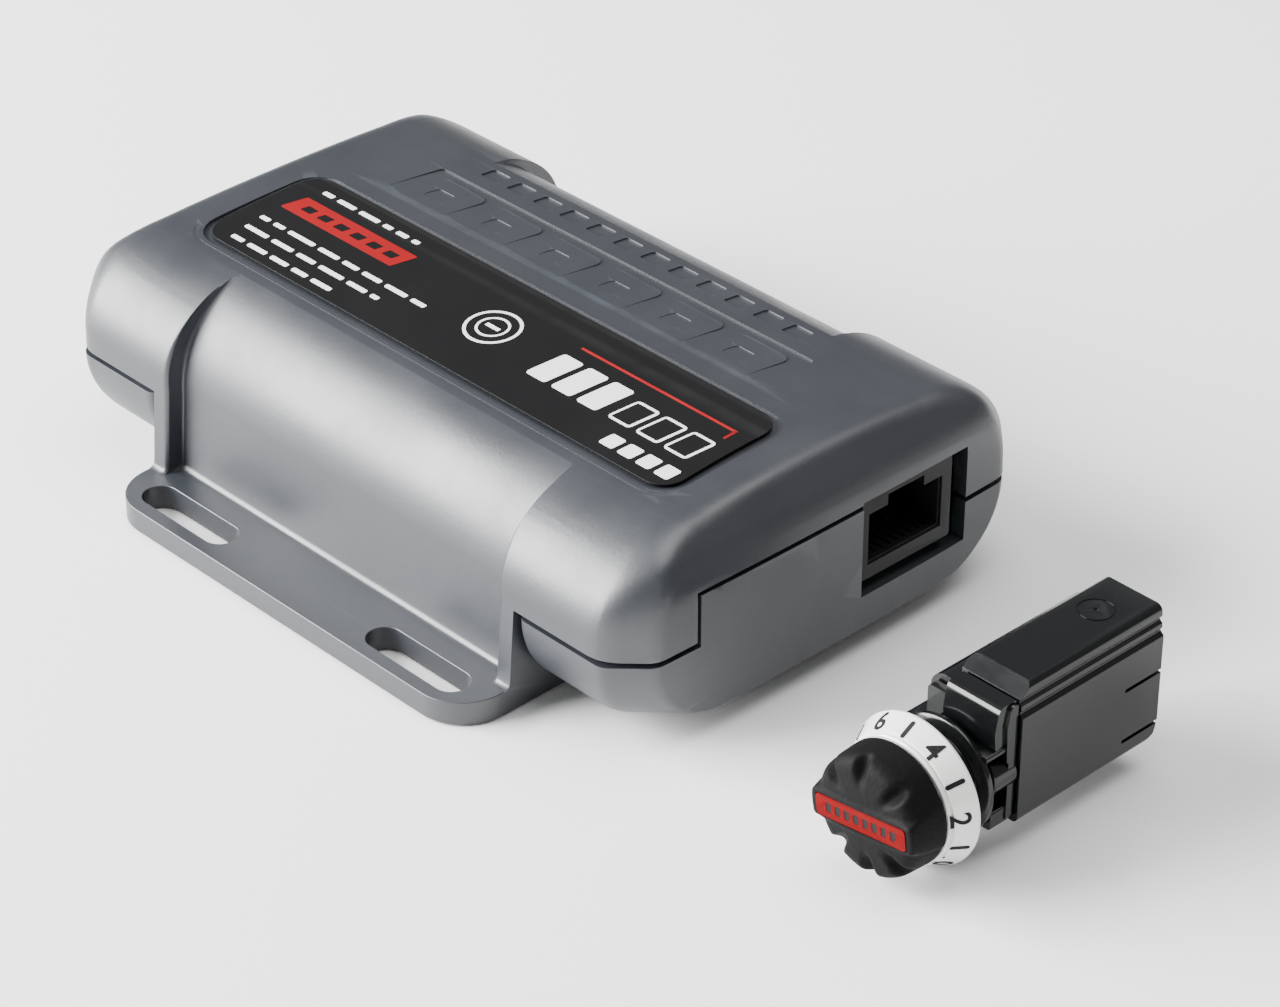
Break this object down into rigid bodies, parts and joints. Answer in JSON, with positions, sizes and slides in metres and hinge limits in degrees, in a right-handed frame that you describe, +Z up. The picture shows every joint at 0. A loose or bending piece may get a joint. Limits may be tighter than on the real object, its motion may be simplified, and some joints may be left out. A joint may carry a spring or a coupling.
{
  "type": "brake controller unit",
  "caption": "Electric trailer brake controller: a slotted-flange main unit with a modular socket, and a remote head with a turn-and-push dial knob.",
  "frame": {"origin": "centre of the main unit's flat underside", "axes": "+X out of the socket end of the main unit, -Y out of its front flange and out of the head's knob, +Z up"},
  "size_m": [0.1545, 0.088, 0.0295],
  "materials": {
    "casing": "fine moulded grain, satin, blue grey",
    "label": "satin black printed film",
    "black_plastic": "moulded black",
    "gloss_black": "polished mould black",
    "knob_grip": "leather grained, matt black",
    "dial_white": "milky clear moulding, printed digits",
    "red_plate": "red printed inset",
    "steel": "zinc plated steel",
    "contact_gold": "gold flashed",
    "aluminium": "plain aluminium",
    "board": "green solder mask",
    "chip_epoxy": "moulded epoxy",
    "rubber": "moulded rubber"
  },
  "bodies": {
    "main_unit": {"upper_cover": "casing", "lower_cover": "casing", "label_plate": "label", "cover_screw_1": "steel", "cover_screw_2": "steel", "cover_screw_3": "steel", "cover_screw_4": "steel", "circuit_board": "board", "board_screw_1": "steel", "board_screw_2": "steel", "socket_housing": "black_plastic", "socket_contacts": "contact_gold", "heat_spreader": "aluminium", "transistor_1": "chip_epoxy", "transistor_2": "chip_epoxy", "transistor_3": "chip_epoxy", "transistor_4": "chip_epoxy", "capacitor_1": "aluminium", "capacitor_2": "aluminium", "capacitor_3": "aluminium", "power_terminal": "black_plastic", "controller_chip": "chip_epoxy", "motion_sensor": "chip_epoxy", "harness_grommet": "rubber"},
    "remote_head": {"head_housing": "gloss_black", "head_carrier": "gloss_black", "head_board": "board", "rotary_control": "steel", "push_switch": "black_plastic", "head_socket": "black_plastic", "head_contacts": "contact_gold", "return_spring": "steel"},
    "push_carriage": {"push_sleeve": "black_plastic"},
    "knob": {"knob_shaft": "steel", "dial_ring": "dial_white", "knob_body": "knob_grip", "knob_plate": "red_plate"}
  },
  "joints": [
    {"name": "head_lift", "type": "slide", "parent": "main_unit", "child": "remote_head", "axis": [0, 0, 1], "range_m": [0, 0.04]},
    {"name": "knob_push", "type": "slide", "parent": "remote_head", "child": "push_carriage", "axis": [0, 1, 0], "range_m": [0, 0.0015], "stiffness_N_per_m": 700, "springref_m": -0.002},
    {"name": "knob_turn", "type": "hinge", "parent": "push_carriage", "child": "knob", "pos_m": [0.0882, -0.0207, 0.0097], "axis": [0, 1, 0], "range_deg": [-140, 140]}
  ]
}
